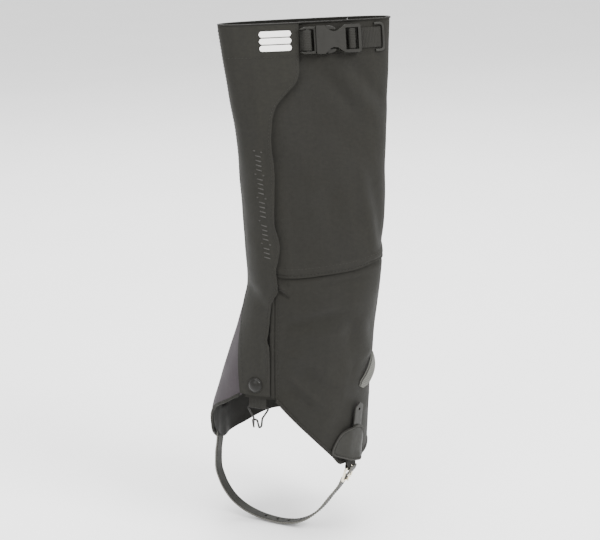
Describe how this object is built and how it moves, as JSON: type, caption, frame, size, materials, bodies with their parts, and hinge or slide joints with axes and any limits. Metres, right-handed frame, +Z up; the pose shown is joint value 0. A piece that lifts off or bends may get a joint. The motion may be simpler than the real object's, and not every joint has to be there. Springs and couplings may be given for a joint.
{
  "type": "mountaineering gaiter",
  "caption": "Knee-high fabric sleeve that closes over the shin with a hook-and-loop flap, a cuff strap with side-release buckle, a lace hook and an instep strap.",
  "frame": {"origin": "centre of the leg opening in the plane of the cuff's top rim", "axes": "+Z up the leg; -Y out of the face with the front closure; +X to the ankle's inner side with the cuff lying flat along X"},
  "size_m": [0.1983, 0.1539, 0.5378],
  "materials": {
    "shell_fabric": "warm charcoal coated plain weave, matte",
    "stretch_fabric": "purple-grey stretch twill, matte",
    "lining": "coated inner face, slight sheen",
    "binding": "grosgrain tape",
    "hook_loop": "hook and loop tape",
    "webbing": "ribbed polyester webbing",
    "buckle_plastic": "moulded acetal, satin",
    "snap_metal": "dark enamelled brass",
    "dark_wire": "black oxide wire, satin",
    "pale_metal": "nickel plate, worn bright",
    "strap_rubber": "coated instep strap, satin",
    "patch": "coated reinforcement fabric, embossed",
    "elastic": "ribbed elastic",
    "reflective": "reflective film"
  },
  "bodies": {
    "sleeve": {"medial_upper_panel": "shell_fabric", "medial_lower_panel": "shell_fabric", "lateral_panel": "stretch_fabric", "front_strip": "shell_fabric", "flap_margin": "shell_fabric", "underlap": "shell_fabric", "edge_binding": "binding", "hem_binding_medial": "binding", "hem_binding_lateral": "binding", "rim_binding": "binding", "cuff_facing": "lining", "back_seam_tape": "lining", "hook_tape_upper": "hook_loop", "loop_tape_upper": "hook_loop", "loop_tape_lower": "hook_loop", "snap_stud": "snap_metal", "snap_post": "snap_metal", "buckle_male": "buckle_plastic", "buckle_webbing": "webbing", "cuff_webbing": "webbing", "webbing_exit": "patch", "reflective_bars": "reflective", "lace_hook_tab": "webbing", "strap_anchor": "strap_rubber", "strap_tail": "strap_rubber", "buckle_chape": "patch", "shield_patch": "patch", "strap_keeper": "elastic"},
    "flap": {"storm_flap": "shell_fabric", "hook_tape_lower": "hook_loop", "snap_cap": "snap_metal", "snap_socket": "snap_metal"},
    "hook": {"lace_hook": "dark_wire"},
    "buckle": {"buckle_female": "buckle_plastic", "webbing_wrap": "webbing"},
    "arm_upper": {"release_arm_upper": "buckle_plastic"},
    "arm_lower": {"release_arm_lower": "buckle_plastic"},
    "strap": {"instep_strap": "strap_rubber", "strap_buckle": "pale_metal"},
    "prong": {"buckle_prong": "pale_metal"}
  },
  "joints": [
    {"name": "flap_peel", "type": "hinge", "parent": "sleeve", "child": "flap", "pos_m": [-0.06271, -0.03565, -0.272], "axis": [-0.1742, -0.0149, -0.9846], "range_deg": [0, 60]},
    {"name": "lace_hook_swing", "type": "hinge", "parent": "sleeve", "child": "hook", "pos_m": [-0.06741, -0.041, -0.38529], "axis": [0.8382, -0.5453, 0], "range_deg": [-70, 12]},
    {"name": "buckle_release", "type": "slide", "parent": "sleeve", "child": "buckle", "axis": [0.9997, 0.0256, 0], "range_m": [0, 0.023], "deforming": ["cuff_webbing", "release_arm_upper", "release_arm_lower"]},
    {"name": "release_arm_upper_squeeze", "type": "hinge", "parent": "sleeve", "child": "arm_upper", "pos_m": [0.00801, -0.02371, -0.00681], "axis": [-0.0253, 0.9889, -0.1463], "range_deg": [0, 9], "stiffness_Nm_per_rad": 0.05},
    {"name": "release_arm_lower_squeeze", "type": "hinge", "parent": "sleeve", "child": "arm_lower", "pos_m": [0.00808, -0.02644, -0.02521], "axis": [0.0253, -0.9889, 0.1463], "range_deg": [0, 9], "stiffness_Nm_per_rad": 0.05},
    {"name": "strap_swing", "type": "hinge", "parent": "sleeve", "child": "strap", "pos_m": [0.0258, -0.04811, -0.4575], "axis": [0.7725, -0.6332, -0.0471], "range_deg": [-25, 25], "deforming": ["buckle_chape", "strap_anchor"]},
    {"name": "prong_lift", "type": "hinge", "parent": "strap", "child": "prong", "pos_m": [0.0258, -0.04811, -0.4575], "axis": [-0.6339, -0.7734, 0], "range_deg": [0, 75]}
  ]
}
